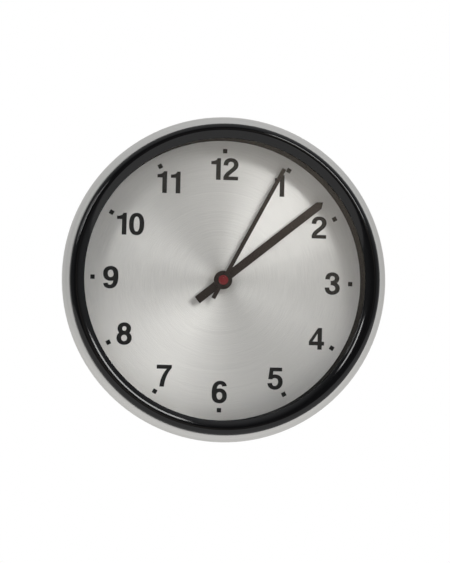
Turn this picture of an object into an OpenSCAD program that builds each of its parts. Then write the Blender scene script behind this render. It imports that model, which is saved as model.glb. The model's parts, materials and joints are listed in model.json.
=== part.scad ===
// Round wall clock: spun case, black bezel, brushed dial, battery movement.
// Millimetres. The back of the case lies in the wall plane y = 0, the dial
// faces -Y, 12 o'clock is +Z, and the origin is on the axis of the hands.

/* [Case] */
// Outer radius of the silver lip
case_r = 150; // [146:1:160]
// How much smaller the case's radius is at the wall than at its lip
side_taper = 10; // [6:1:14]
// From the wall to the seat of the bezel
case_depth = 47; // [44:0.5:54]
// Sheet thickness of the case
case_wall = 1.5; // [1.2:0.1:2]
// Width of the silver lip that shows round the bezel
lip_w = 6.8; // [4:0.1:8]
// Slope of the lip back towards its edge, in degrees
lip_slope = 38; // [20:1:45]
// Radius of the lip's outer edge
lip_round = 1.5; // [1:0.1:2]
// Height of the straight band behind the lip
band_h = 3; // [2:0.5:6]
// Width of the flat seat under the bezel
seat_w = 1.5; // [1.2:0.1:2]
// Radius of the corner at the wall
corner_r = 3; // [2:0.5:5]

/* [Bezel and lens] */
// Width of the black ring, from its outer edge to the opening
bezel_w = 13.2; // [12:0.1:15]
// From the outer edge of the bezel in to its crest
crest_in = 5.1; // [4.4:0.1:5.4]
// Radius of the bezel's rounded crest
crest_round = 6; // [5.6:0.1:8]
// Slope at which the crest runs into the bezel's inner face, in degrees
inner_slope = 15; // [10:1:20]
// Radius of the bezel's inner face
inner_round = 23; // [18:1:40]
// Thickness of the bezel's nose over the lens
nose_t = 1.2; // [0.8:0.1:2]
// Thickness of the skirt inside the case
skirt_t = 2.9; // [2:0.1:3.2]
// Length of the skirt below the seat
skirt_h = 8; // [6:0.5:12]
// How far the snap bead stands out of the skirt
bead_h = 0.8; // [0.5:0.1:1]
// Thickness of the glass
lens_t = 2; // [1.5:0.1:3]
// Height of the glass's rear face above the seat of the bezel
lens_rise = 1.3; // [1:0.1:3]
// Thickness of the rubber gasket behind the glass
gasket_t = 0.8; // [0.5:0.1:1.2]
// Thickness of the spacer ring's wall
spacer_wall = 1.6; // [1.2:0.1:2.5]
// Thickness of the spacer ring's flange
spacer_flange_t = 1.2; // [1:0.1:2]

/* [Dial] */
// Thickness of the dial plate
dial_t = 1; // [0.8:0.1:1.5]
// How far the dial plate reaches out past the spacer ring
dial_margin = 3; // [2:0.5:5]
// Radius of the ring of hour squares
square_ring_r = 120.6; // [116:0.2:122]
// Side of an hour square
square_side = 4.1; // [3:0.1:5]
// Radius of the ring through the centres of the numerals
numeral_ring_r = 103.8; // [98:0.2:105]
// Height of a numeral
numeral_h = 20.3; // [16:0.1:21]
// How far the 10 lies inside the ring, to clear its square
ten_inset = 3.8; // [3.4:0.1:5]
// Gap between the two digits of 10, 11 and 12
digit_gap = 2.3; // [1.8:0.1:3]
// How much wider that gap is in 11
eleven_gap = 1.2; // [0:0.1:2]
// Thickness of the printed ink
ink_t = 0.1; // [0.05:0.01:0.2]
// Radius of the circle of dial feet
foot_ring_r = 118; // [100:1:122]
// Radius of a dial foot
foot_r = 3.5; // [3:0.1:5]
// Number of dial feet
foot_n = 4; // [3:1:6]
// Radius of a dial screw
screw_r = 1.5; // [1:0.1:2]
// Radius of a dial screw's flat head
screw_head_r = 2.9; // [2.5:0.1:3.4]
// Length of a dial screw
screw_len = 9; // [6:0.5:12]

/* [Hands] */
// Angle of the minute and hour hands, clockwise from 12
minute_angle = 50.8; // [0:0.1:360]
// Angle of the seconds hand, clockwise from 12
second_angle = 27.5; // [0:0.1:360]
// Length of the minute hand from the axis to its point
minute_len = 119; // [90:0.5:124]
// Length of the minute hand's tail
minute_tail = 30.4; // [20:0.2:40]
// Width of the minute hand
minute_w = 7.7; // [6:0.1:9]
// Length of the minute hand's point
minute_point = 5; // [3:0.5:10]
// Thickness of the minute hand
minute_t = 0.7; // [0.5:0.1:1]
// Length of the hour hand from the axis to its point
hour_len = 82; // [60:0.5:95]
// Length of the hour hand's tail
hour_tail = 22; // [15:0.5:30]
// Width of the hour hand
hour_w = 6.8; // [5:0.1:8]
// Length of the hour hand's point
hour_point = 5; // [3:0.5:10]
// Thickness of the hour hand
hour_t = 0.6; // [0.5:0.1:1]
// Length of the seconds hand from the axis to its end
second_len = 118.4; // [90:0.2:124]
// Length of the seconds hand's tail
second_tail = 19.5; // [15:0.5:30]
// Width of the seconds hand
second_w = 3.85; // [2:0.05:4.5]
// Thickness of the seconds hand
second_t = 0.5; // [0.3:0.1:0.8]
// Radius of the disc on the minute hand
disc_r = 8.6; // [8:0.1:10]
// Thickness of the disc on the minute hand
disc_t = 1.4; // [1:0.1:2]
// Radius of the hour hand's eye
hour_eye_r = 6.2; // [5:0.1:7]
// Radius of the red cap
cap_r = 4.55; // [3.5:0.05:5.5]
// Height of the red cap
cap_h = 1.7; // [1.4:0.1:2.5]
// Air between one hand and the next
hand_gap = 2.2; // [1.5:0.1:3]

/* [Movement body] */
// Width of the movement
move_w = 57; // [57:0.5:62]
// Top edge of the movement above the axis of the hands
move_up = 22; // [22:0.5:26]
// Depth of the rear shell
move_d = 15.5; // [15.5:0.1:17]
// Wall of the shells
shell_wall = 1.2; // [1:0.1:1.4]
// Thickness of the front shell
cover_t = 1.5; // [1.4:0.1:2]
// Air between the movement and the edge of the case's opening
open_gap = 1; // [0.6:0.1:2]
// Radius of the threaded bush
bush_r = 4; // [3.6:0.1:4.5]
// Radius of the bush's flange
flange_r = 6; // [5.5:0.1:6.5]
// Thickness of the bush's flange
flange_t = 1.2; // [1:0.1:1.3]
// Thickness of the rubber washer behind the dial
rubber_t = 1; // [0.8:0.1:2]
// Outer radius of the rubber washer
rubber_r = 12; // [10:0.5:14]
// Thickness of the flat washer in front of the dial
washer_t = 0.6; // [0.4:0.1:1]
// Outer radius of the flat washer
washer_r = 7.5; // [6.5:0.1:8]
// Width across the flats of the nut
nut_flats = 12; // [11:0.5:13]
// Thickness of the nut
nut_t = 2.4; // [2:0.1:3]

/* [Gear train] */
// Tooth module of the seconds and third wheels
train_module = 0.36; // [0.34:0.01:0.37]
// Tooth module of the rotor pinion and intermediate wheel
rotor_module = 0.3; // [0.28:0.01:0.31]
// Tooth module of the motion work and setting gear
motion_module = 0.5; // [0.48:0.01:0.5]
// Thickness of the wheels
wheel_t = 1; // [0.8:0.1:1]
// Radius of the train's arbors
arbor_r = 0.5; // [0.45:0.01:0.55]
// Radius of the pivots at the arbors' ends
pivot_r = 0.35; // [0.3:0.01:0.4]
// Radial clearance of a pivot, tube or shaft in its bore
run_gap = 0.06; // [0.03:0.01:0.09]
// Radius of the minute hand's tube
minute_tube_r = 1.25; // [1.15:0.01:1.3]
// Radius of the hour hand's pipe
hour_pipe_r = 2.2; // [2.1:0.05:2.4]
// Radius of the setting shaft
set_shaft_r = 1; // [0.9:0.05:1.2]
// Radius of the setting knob
knob_r = 5.5; // [5:0.1:5.6]
// Thickness of the setting knob
knob_t = 2.3; // [1.8:0.1:2.4]
// Depth of the recess that the knob sits in
knob_recess = 3.2; // [3:0.1:3.4]
// Grip notches round the knob
knob_notches = 16; // [12:1:20]

/* [Motor and electrics] */
// Radius of the rotor magnet
magnet_r = 3; // [2.5:0.1:3.2]
// Height of the rotor magnet
magnet_h = 3.2; // [2.4:0.1:3.4]
// Thickness of the stator
stator_t = 1; // [0.8:0.1:1]
// Radius of the coil
coil_r = 2.4; // [2:0.1:2.5]
// Length of the coil between its flanges
coil_len = 14; // [10:0.5:15]
// Radius of the battery
battery_r = 7.25; // [7:0.05:7.3]
// Length of the battery's body
battery_len = 49.2; // [48:0.1:49.2]
// Length of the battery's positive cap
battery_nub = 1.2; // [1:0.1:1.3]
// Thickness of the contact strips
contact_t = 0.4; // [0.3:0.05:0.6]
// Width of the circuit board
board_w = 20; // [16:0.5:20]
// Height of the circuit board
board_h = 10.4; // [8:0.2:10.4]
// Thickness of the circuit board
board_t = 0.8; // [0.6:0.1:1]

/* [Hanger] */
// From the edge of the back in to the centre of the keyhole's round entry
hang_inset = 34; // [30:1:45]
// Radius of the keyhole's round entry
key_r = 4.5; // [4:0.1:6]
// Radius of the keyhole's slot
slot_r = 2.2; // [1.8:0.1:3]
// Length of the slot above the entry's centre
slot_up = 9; // [7:0.5:12]
// Width of the hanger plate
hanger_w = 40; // [34:1:50]
// Height of the hanger plate
hanger_h = 32; // [30:1:36]
// Thickness of the hanger plate
hanger_t = 1.2; // [1:0.1:2]
// Radius of a rivet
rivet_r = 1.6; // [1.2:0.1:2]
// Radius of a rivet's head
rivet_head_r = 3; // [2.4:0.1:3.4]

/* [Hidden] */

over = 1;            // how far a cut runs past the face it opens
fit = 0.1;           // play between fixed pieces that slide together
press_gap = 0.02;    // play where a piece is pressed or screwed on its shaft
seat_gap = 0.3;      // play round a piece that lifts out
curve_n = 8;         // pieces in each curved stretch of an outline
$fn = 96;

// Radii from the case inwards
case_back_r = case_r - side_taper;
bezel_r = case_r - lip_w;
opening_r = bezel_r - bezel_w;
seat_r = bezel_r - seat_w;
skirt_r = seat_r - fit;
skirt_bore = skirt_r - skirt_t;
lens_r = skirt_bore - seat_gap;
spacer_r = opening_r + spacer_wall;
dial_r = spacer_r + dial_margin;
lip_in = bezel_r + 0.6;
lip_wall_in = lip_in - case_wall * tan(lip_slope / 2);
hang_h = case_back_r - hang_inset;

// Heights above the wall
cover_z = move_d;
move_front = move_d + cover_t;
dial_z = move_front + rubber_t;
dial_front = dial_z + dial_t;
lip_z = case_depth - ((case_r - lip_round - lip_in) * sin(lip_slope) + lip_round) / cos(lip_slope);
lip_wall_z = case_depth - case_wall - (case_r - case_wall - lip_wall_in) * tan(lip_slope);
lens_z = case_depth + lens_rise;
lens_front = lens_z + lens_t;
gasket_z = lens_z - gasket_t;
washer_z = dial_front;
nut_z = washer_z + washer_t;
bush_top = nut_z + nut_t + 0.8;

// Bezel section
nose_r = nose_t / 2;
crest_cr = bezel_r - crest_in;
outer_tilt = asin(crest_in / crest_round);
// the inner face bends on from the crest's slope until it meets the nose's round edge
nose_slope = asin((crest_cr - opening_r - nose_r + (inner_round - crest_round) * sin(inner_slope))
    / (inner_round - nose_r));
inner_cz = lens_front + nose_r - (inner_round - nose_r) * cos(nose_slope);
inner_cr = crest_cr + (inner_round - crest_round) * sin(inner_slope);
crest_cz = inner_cz + (inner_round - crest_round) * cos(inner_slope);
crest_z = crest_cz + crest_round;

// Hands
hour_z = bush_top + 0.6;
minute_z = hour_z + hour_t + hand_gap;
disc_z = minute_z + minute_t;
second_z = disc_z + disc_t + 1;
cap_z = second_z + second_t;
collar_h = 0.6;
collar_r = 1.6;

// Gear teeth
rotor_teeth = 8;
inter_teeth = 48;
inter_pinion_teeth = 12;
seconds_teeth = 60;
pinion_teeth = 8;
third_teeth = 60;
centre_teeth = 64;
cannon_teeth = 10;
minute_teeth = 30;
hour_teeth = 32;
set_teeth = 12;

// Gear centres, from the pitch circles
centre_module = train_module * (third_teeth + pinion_teeth) / (centre_teeth + pinion_teeth);
third_dist = train_module * (third_teeth + pinion_teeth) / 2;
inter_dist = train_module * (seconds_teeth + inter_pinion_teeth) / 2;
rotor_dist = rotor_module * (inter_teeth + rotor_teeth) / 2;
minute_dist = motion_module * (minute_teeth + cannon_teeth) / 2;
set_dist = motion_module * (minute_teeth + set_teeth) / 2;
third_dir = 135;
inter_dir = 200;
rotor_dir = 190;
minute_dir = -20;
set_dir = 20;
function polar(r, a) = [r * cos(a), r * sin(a)];
third_at = polar(third_dist, third_dir);
inter_at = polar(inter_dist, inter_dir);
rotor_at = inter_at + polar(rotor_dist, rotor_dir);
minute_at = polar(minute_dist, minute_dir);
set_at = minute_at + polar(set_dist, set_dir);

// Layers of the train above the wall
boss_top = shell_wall + 0.3;
pivot_z = shell_wall / 2;
inter_z = boss_top + 0.2;
inter_t = 0.7;
seconds_z = inter_z + inter_t + 0.6;
third_z = seconds_z + wheel_t + 1;
third_t = 0.9;
stator_z = third_z + third_t + 0.3;
centre_z = stator_z + stator_t + 0.4;
cannon_z = centre_z + wheel_t + 1.4;
minute_wheel_z = cannon_z + 0.4;
minute_pinion_z = minute_wheel_z + wheel_t;
hour_wheel_z = minute_pinion_z + 1.5;
flange_z = cover_z - flange_t;
minute_pinion_top = hour_wheel_z + wheel_t + 0.1;
bush_bore = hour_pipe_r + run_gap;
cover_pivot_z = cover_z + 0.8;
stud_r = 0.8;
knob_z = 0.3;
set_gear_z = minute_wheel_z - 0.1;

// Battery compartment, below the train
bay_half = battery_r + seat_gap;
bay_top = -18.2 - shell_wall;
battery_y = bay_top - bay_half;
move_down = bay_half - battery_y + shell_wall + 0.1;
bay_len = battery_len + battery_nub + 2.8;
battery_z = battery_r + 0.15;
bay_d = battery_z + bay_half;

// One gear outline: each tooth's flanks lean in from the root to a narrow tip.
// half is the part of the tooth pitch that a root fills, kept thin so that
// meshed teeth run clear of each other.
function gear_outline(teeth, m, add, ded, half) =
    let (
        pitch_r = m * teeth / 2,
        root_r = pitch_r - ded * m,
        shoulder_r = pitch_r + 0.6 * add * m,
        tip_r = pitch_r + add * m,
        s = half * 180 / teeth,
        corners = [
            [root_r, -s], [shoulder_r, -0.72 * s], [tip_r, -0.3 * s],
            [tip_r, 0.3 * s], [shoulder_r, 0.72 * s], [root_r, s]
        ]
    )
    [for (i = [0 : teeth - 1], c = corners) polar(c[0], 360 * i / teeth + c[1])];

// Smooth curve through two ends and two pull points
function bezier(a, b, c, d) = [
    for (i = [0 : curve_n])
        let (t = i / curve_n, u = 1 - t)
        a * u * u * u + b * 3 * u * u * t + c * 3 * u * t * t + d * t * t * t
];

// Arc of an outline from angle a0 to a1
function arc(cx, cy, r, a0, a1) = [
    for (i = [0 : curve_n])
        let (a = a0 + (a1 - a0) * i / curve_n)
        [cx + r * cos(a), cy + r * sin(a)]
];

// Stands the clock up: local z comes out of the wall, local y is 12 o'clock
module upright() rotate([90, 0, 0]) children();

module tube(r_out, r_in, z, h) {
    translate([0, 0, z])
        difference() {
            cylinder(r = r_out, h = h);
            translate([0, 0, -over]) cylinder(r = r_in, h = h + 2 * over);
        }
}

module slab(w, h, t, at) translate([at[0] - w / 2, at[1] - h / 2, at[2]]) cube([w, h, t]);

// Turned case

function case_outline() = concat(
    [[0, 0]],
    arc(case_back_r - corner_r, corner_r, corner_r, -90, 0),
    [[case_r, lip_z - band_h]],
    arc(case_r - lip_round, lip_z, lip_round, 0, 90 - lip_slope),
    [[lip_in, case_depth], [seat_r, case_depth]],
    [[seat_r, case_depth - case_wall], [lip_wall_in, case_depth - case_wall]],
    [[case_r - case_wall, lip_wall_z]],
    [[case_r - case_wall, lip_z - band_h]],
    [[case_back_r - case_wall, corner_r]],
    [[case_back_r - corner_r, case_wall], [0, case_wall]]
);

module at_feet() {
    for (i = [0 : foot_n - 1])
        rotate([0, 0, 45 + 360 * i / foot_n])
            translate([foot_ring_r, 0, 0]) children();
}

module at_rivets() {
    for (s = [-1, 1])
        translate([s * (hanger_w / 2 - rivet_head_r - 1), hang_h, 0]) children();
}

module case_shell() {
    color("silver") upright() difference() {
        rotate_extrude($fn = 180) polygon(case_outline());
        slab(move_w + 2 * open_gap, move_up + move_down + 2 * open_gap, case_wall + 2 * over,
            [0, (move_up - move_down) / 2, -over]);
        slab(2 * (key_r + 4), slot_up + 2 * key_r + 8, case_wall + 2 * over,
            [0, hang_h + slot_up / 2 - key_r / 2 + 2, -over]);
        at_feet() {
            cylinder(r1 = screw_head_r, r2 = screw_r, h = case_wall);
            translate([0, 0, -over]) cylinder(r = screw_r, h = case_wall + 2 * over);
        }
        at_rivets() translate([0, 0, -over]) cylinder(r = rivet_r, h = case_wall + 2 * over);
    }
}

function bezel_outline() = concat(
    [[bezel_r, case_depth]],
    arc(crest_cr, crest_cz, crest_round, 90 - outer_tilt, 90 + inner_slope),
    arc(inner_cr, inner_cz, inner_round, 90 + inner_slope, 90 + nose_slope),
    arc(opening_r + nose_r, lens_front + nose_r, nose_r, 90 + nose_slope, 270),
    [[skirt_bore, lens_front], [skirt_bore, case_depth - skirt_h]],
    [[skirt_r, case_depth - skirt_h]],
    [[skirt_r, case_depth - case_wall - 2.5 * bead_h]],
    [[skirt_r + bead_h, case_depth - case_wall - bead_h]],
    [[skirt_r, case_depth - case_wall - fit]],
    [[skirt_r, case_depth]]
);

module bezel() {
    color([0.06, 0.06, 0.07]) upright() rotate_extrude($fn = 180) polygon(bezel_outline());
}

module lens() {
    color([0.9, 0.95, 1, 0.3]) upright() translate([0, 0, lens_z]) cylinder(r = lens_r, h = lens_t, $fn = 180);
}

module lens_gasket() {
    color([0.1, 0.1, 0.1]) upright() tube(lens_r, opening_r + 1, gasket_z, gasket_t, $fn = 180);
}

module spacer_ring() {
    color([0.08, 0.08, 0.08]) upright() rotate_extrude($fn = 180) polygon([
        [opening_r, dial_front], [spacer_r, dial_front],
        [spacer_r, gasket_z - spacer_flange_t], [lens_r, gasket_z - spacer_flange_t],
        [lens_r, gasket_z], [opening_r, gasket_z]
    ]);
}

// Dial

module dial_plate() {
    color([0.72, 0.71, 0.68]) upright() tube(dial_r, bush_r + fit, dial_z, dial_t, $fn = 180);
}

module dial_feet() {
    color("goldenrod") upright() at_feet() tube(foot_r, screw_r, case_wall, dial_z - case_wall, $fn = 48);
}

module dial_screws() {
    color("gray") upright() at_feet() difference() {
        union() {
            cylinder(r1 = screw_head_r, r2 = screw_r, h = case_wall, $fn = 48);
            cylinder(r = screw_r, h = screw_len, $fn = 48);
        }
        slab(0.6, 2 * screw_head_r, 0.5, [0, 0, -0.01]);
    }
}

// Numerals, drawn one unit high with a flat pen

pen_w = 0.214;
pen_h = 0.172;
digit_w = 0.695;
one_w = 0.445;
mid = digit_w / 2;

// Where the pen's edge lies for a stroke that runs along d
function pen_edge(d) =
    let (
        n = [-d[1], d[0]] / norm(d),
        a = pen_w / 2,
        b = pen_h / 2
    )
    [a * a * n[0], b * b * n[1]] / sqrt(a * a * n[0] * n[0] + b * b * n[1] * n[1]);

function heading(p, i) = p[min(i + 1, len(p) - 1)] - p[max(i - 1, 0)];

// Joins curves end to end and drops the doubled points
function joined(curves) = [
    for (k = [0 : len(curves) - 1], i = [k == 0 ? 0 : 1 : curve_n])
        curves[k][i]
];

module stroke(curves) {
    p = joined(curves);
    n = len(p) - 1;
    polygon(concat(
        [for (i = [0 : n]) p[i] + pen_edge(heading(p, i))],
        [for (i = [n : -1 : 0]) p[i] - pen_edge(heading(p, i))]
    ));
}

// Closed bowl: the pen run round a rounded loop with half sizes rx and ry
module bowl(cx, cy, rx, ry, square = 2.2) {
    steps = 5 * curve_n;
    function at(a, gx, gy) = [
        cx + (rx + gx) * sign(cos(a)) * pow(abs(cos(a)), 2 / square),
        cy + (ry + gy) * sign(sin(a)) * pow(abs(sin(a)), 2 / square)
    ];
    difference() {
        polygon([for (i = [0 : steps - 1]) at(360 * (i + 0.5) / steps, pen_w / 2, pen_h / 2)]);
        polygon([for (i = [0 : steps - 1]) at(360 * (i + 0.5) / steps, -pen_w / 2, -pen_h / 2)]);
    }
}

module digit_0() bowl(mid, 0.5, mid - pen_w / 2, 0.512 - pen_h / 2, 2.35);

module digit_1() {
    polygon(concat(
        [[one_w, 0], [one_w, 1]],
        bezier([one_w - 0.16, 1], [0.265, 0.9], [0.165, 0.855], [0, 0.855]),
        [[0, 0.705], [one_w - pen_w, 0.705], [one_w - pen_w, 0]]
    ));
}

module digit_2() {
    stroke([
        bezier([0.115, 0.672], [0.115, 0.845], [0.205, 0.932], [0.35, 0.932]),
        bezier([0.35, 0.932], [0.5, 0.932], [0.593, 0.85], [0.593, 0.715]),
        bezier([0.593, 0.715], [0.593, 0.58], [0.47, 0.5], [0.37, 0.415]),
        bezier([0.37, 0.415], [0.27, 0.33], [0.14, 0.25], [0.115, 0.08])
    ]);
    translate([0.015, 0]) square([digit_w - 0.015, 0.165]);
}

module digit_3() {
    stroke([
        bezier([0.12, 0.69], [0.12, 0.86], [0.205, 0.932], [0.335, 0.932]),
        bezier([0.335, 0.932], [0.47, 0.932], [0.56, 0.85], [0.56, 0.74]),
        bezier([0.56, 0.74], [0.56, 0.62], [0.46, 0.535], [0.27, 0.535])
    ]);
    stroke([
        bezier([0.27, 0.51], [0.48, 0.51], [0.59, 0.42], [0.59, 0.285]),
        bezier([0.59, 0.285], [0.59, 0.15], [0.48, 0.068], [0.34, 0.068]),
        bezier([0.34, 0.068], [0.19, 0.068], [0.1, 0.16], [0.1, 0.315])
    ]);
}

module digit_4() {
    difference() {
        polygon([
            [0, 0.195], [0, 0.37], [0.415, 1], [0.602, 1], [0.602, 0.37], [0.705, 0.37],
            [0.705, 0.195], [0.602, 0.195], [0.602, 0], [0.398, 0], [0.398, 0.195]
        ]);
        polygon([[0.17, 0.37], [0.398, 0.37], [0.398, 0.735]]);
    }
}

module digit_5() {
    polygon([
        [0.095, 1], [0.665, 1], [0.665, 0.828], [0.262, 0.828], [0.215, 0.46], [0.03, 0.46]
    ]);
    stroke([
        bezier([0.14, 0.52], [0.2, 0.59], [0.27, 0.6], [0.34, 0.6]),
        bezier([0.34, 0.6], [0.5, 0.6], [0.595, 0.5], [0.595, 0.345]),
        bezier([0.595, 0.345], [0.595, 0.18], [0.48, 0.068], [0.335, 0.068]),
        bezier([0.335, 0.068], [0.2, 0.068], [0.11, 0.15], [0.1, 0.285])
    ]);
}

module digit_6() {
    stroke([
        bezier([0.575, 0.765], [0.565, 0.88], [0.49, 0.932], [0.375, 0.932]),
        bezier([0.375, 0.932], [0.19, 0.932], [0.1, 0.76], [0.1, 0.48]),
        bezier([0.1, 0.48], [0.1, 0.2], [0.19, 0.068], [0.35, 0.068])
    ]);
    bowl(mid, 0.328, mid - pen_w / 2, 0.34 - pen_h / 2);
}

module digit_7() {
    polygon(concat(
        [[0, 1], [digit_w, 1]],
        bezier([digit_w, 0.86], [0.525, 0.67], [0.386, 0.38], [0.352, 0]),
        bezier([0.141, 0], [0.173, 0.36], [0.303, 0.63], [0.468, 0.815]),
        [[0, 0.815]]
    ));
}

module digit_8() {
    bowl(mid, 0.735, 0.31 - pen_w / 2, 0.277 - pen_h / 2, 2.1);
    bowl(mid, 0.303, mid - pen_w / 2, 0.315 - pen_h / 2, 2.1);
}

module digit_9() translate([digit_w, 1]) rotate(180) digit_6();

module digit(d) {
    if (d == 0) digit_0();
    if (d == 1) digit_1();
    if (d == 2) digit_2();
    if (d == 3) digit_3();
    if (d == 4) digit_4();
    if (d == 5) digit_5();
    if (d == 6) digit_6();
    if (d == 7) digit_7();
    if (d == 8) digit_8();
    if (d == 9) digit_9();
}

function width_of(d) = (d == 1 ? one_w : digit_w) * numeral_h;

module numeral(hour) {
    tens = floor(hour / 10);
    ones = hour % 10;
    lead = tens > 0 ? width_of(tens) + digit_gap + (hour == 11 ? eleven_gap : 0) : 0;
    total = lead + width_of(ones);
    translate([-total / 2, -numeral_h / 2, 0]) {
        if (tens > 0) linear_extrude(ink_t) scale(numeral_h) digit(tens);
        translate([lead, 0, 0]) linear_extrude(ink_t) scale(numeral_h) digit(ones);
    }
}

module dial_numerals() {
    color([0.2, 0.19, 0.18]) upright() for (hour = [1 : 12]) {
        r = numeral_ring_r - (hour == 10 ? ten_inset : 0);
        at = polar(r, 90 - 30 * hour);
        translate([at[0], at[1], dial_front]) numeral(hour);
    }
}

module hour_squares() {
    color([0.2, 0.19, 0.18]) upright() for (hour = [1 : 12])
        rotate([0, 0, -30 * hour]) slab(square_side, square_side, ink_t, [0, square_ring_r, dial_front]);
}

// Hanger

module hanger_plate() {
    color("lightgray") upright() difference() {
        slab(hanger_w, hanger_h, hanger_t, [0, hang_h + slot_up / 2, case_wall]);
        translate([0, hang_h, 0]) {
            cylinder(r = key_r, h = case_wall + hanger_t + over);
            slab(2 * slot_r, slot_up, case_wall + hanger_t + over, [0, slot_up / 2, 0]);
            translate([0, slot_up, 0]) cylinder(r = slot_r, h = case_wall + hanger_t + over);
        }
        at_rivets() cylinder(r = rivet_r, h = case_wall + hanger_t + over);
    }
}

module hanger_rivets() {
    color("silver") upright() at_rivets() {
        cylinder(r = rivet_r, h = case_wall + hanger_t, $fn = 48);
        translate([0, 0, case_wall + hanger_t]) cylinder(r = rivet_head_r, h = 1, $fn = 48);
    }
}

// Movement shells

module pivot_hole(at, z, h, r = pivot_r + run_gap) translate([at[0], at[1], z]) cylinder(r = r, h = h, $fn = 32);

module bearing_boss(at) translate([at[0], at[1], 0]) cylinder(r = 1.4, h = boss_top, $fn = 32);

train_pivots = [[0, 0], third_at, inter_at, rotor_at];
board_gap = 1.8;     // from the circuit board to the wall beside it
board_at = [move_w / 2 - shell_wall - board_gap - board_w / 2, 14.9];
post_r = 1.2;
board_posts = [
    board_at + [-board_w / 2 + 2, -board_h / 2 + 2],
    board_at + [board_w / 2 - 2, board_h / 2 - 2]
];
board_z = hour_wheel_z - 1;
knob_bore = knob_r + 1;
tab_w = 5;
tab_t = 0.8;
tab_h = 6;

module movement_rear_shell() {
    inner_w = move_w - 2 * shell_wall;
    train_low = bay_top + shell_wall;
    train_high = move_up - shell_wall;
    color([0.12, 0.12, 0.13]) upright() difference() {
        union() {
            difference() {
                slab(move_w, move_up + move_down, move_d, [0, (move_up - move_down) / 2, 0]);
                slab(inner_w, train_high - train_low, move_d, [0, (train_high + train_low) / 2, shell_wall]);
            }
            for (at = train_pivots) bearing_boss(at);
            for (at = board_posts)
                translate([at[0], at[1], 0]) cylinder(r = post_r, h = board_z, $fn = 32);
            translate([set_at[0], set_at[1], 0]) cylinder(r = knob_bore + shell_wall, h = knob_recess + shell_wall);
        }
        slab(bay_len, 2 * bay_half, bay_d + over, [0, battery_y, -over]);
        for (at = train_pivots) pivot_hole(at, pivot_z, boss_top);
        translate([set_at[0], set_at[1], -over]) cylinder(r = knob_bore, h = knob_recess + over);
        pivot_hole(set_at, 0, move_d, set_shaft_r + run_gap);
    }
}

module movement_front_shell() {
    stud_low = minute_wheel_z - 0.4;
    color([0.16, 0.16, 0.17]) upright() difference() {
        union() {
            slab(move_w, move_up + move_down, cover_t, [0, (move_up - move_down) / 2, cover_z]);
            translate([minute_at[0], minute_at[1], stud_low]) cylinder(r = stud_r, h = cover_z - stud_low, $fn = 48);
            for (sx = [-1, 1], sy = [-1, 1])
                slab(tab_t, tab_w, tab_h + cover_t,
                    [sx * (move_w + tab_t) / 2, sy * 12, cover_z - tab_h]);
        }
        translate([0, 0, cover_z - over]) cylinder(r = bush_r + press_gap, h = cover_t + 2 * over);
        for (at = [third_at, inter_at, rotor_at]) pivot_hole(at, cover_z - over, over + 1);
        pivot_hole(set_at, cover_z - over, over + 1, set_shaft_r + run_gap);
    }
}

module threaded_bush() {
    color("gold") upright() {
        tube(bush_r, bush_bore, flange_z, bush_top - flange_z);
        tube(flange_r, bush_r, flange_z, flange_t);
    }
}

module rubber_washer() {
    color([0.1, 0.1, 0.1]) upright() tube(rubber_r, bush_r + press_gap, move_front, rubber_t);
}

module flat_washer() {
    color("gold") upright() tube(washer_r, bush_r + press_gap, washer_z, washer_t);
}

module hex_nut() {
    color("gold") upright() translate([0, 0, nut_z]) difference() {
        cylinder(r = nut_flats / sqrt(3), h = nut_t, $fn = 6);
        translate([0, 0, -over]) cylinder(r = bush_r + press_gap, h = nut_t + 2 * over);
    }
}

// Gears: each toothed disc is turned so that its teeth meet the next one's gaps

module toothed(teeth, m, z, h, turn, kind) {
    add = kind == "wheel" ? 0.95 : 0.7;
    ded = kind == "wheel" ? 1 : 1.25;
    half = kind == "wheel" ? 0.44 : 0.4;
    translate([0, 0, z]) rotate([0, 0, turn])
        linear_extrude(h) polygon(gear_outline(teeth, m, add, ded, half));
}

// Turn of a gear whose gap meets a tooth of the gear before it, in direction dir
function gap_turn(dir, teeth) = dir + 180 + 180 / teeth;

// The same where the gear before it, with lead teeth, is turned by lead_turn
function follow_turn(dir, lead, lead_turn, teeth) = gap_turn(dir, teeth) + lead / teeth * (dir - lead_turn);

module arbor(z0, z1, r) translate([0, 0, z0]) cylinder(r = r, h = z1 - z0, $fn = 32);

// Arbor with thin pivots at both shells
module train_arbor() {
    arbor(boss_top + 0.05, cover_z - 0.05, arbor_r);
    arbor(pivot_z + 0.05, boss_top + 0.05, pivot_r);
    arbor(cover_z - 0.05, cover_pivot_z, pivot_r);
}

module rotor() {
    color([0.35, 0.35, 0.38]) upright() translate([rotor_at[0], rotor_at[1], 0]) {
        train_arbor();
        toothed(rotor_teeth, rotor_module, inter_z - 0.15, inter_t + 0.3, gap_turn(rotor_dir, rotor_teeth), "pinion");
        translate([0, 0, stator_z + stator_t / 2 - magnet_h / 2]) cylinder(r = magnet_r, h = magnet_h, $fn = 48);
    }
}

module intermediate_wheel() {
    color("white") upright() translate([inter_at[0], inter_at[1], 0]) {
        train_arbor();
        toothed(inter_teeth, rotor_module, inter_z, inter_t, rotor_dir, "wheel");
        toothed(inter_pinion_teeth, train_module, inter_z + inter_t, wheel_t + 0.9,
            gap_turn(inter_dir, inter_pinion_teeth), "pinion");
    }
}

module seconds_wheel() {
    color("white") upright() {
        toothed(seconds_teeth, train_module, seconds_z, wheel_t, inter_dir, "wheel");
        toothed(pinion_teeth, train_module, seconds_z + wheel_t, centre_z - 0.4 - seconds_z - wheel_t,
            gap_turn(third_dir + 180, pinion_teeth), "pinion");
        arbor(boss_top + 0.05, cap_z + 0.8, arbor_r);
        arbor(pivot_z + 0.05, boss_top + 0.05, pivot_r);
    }
}

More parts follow.
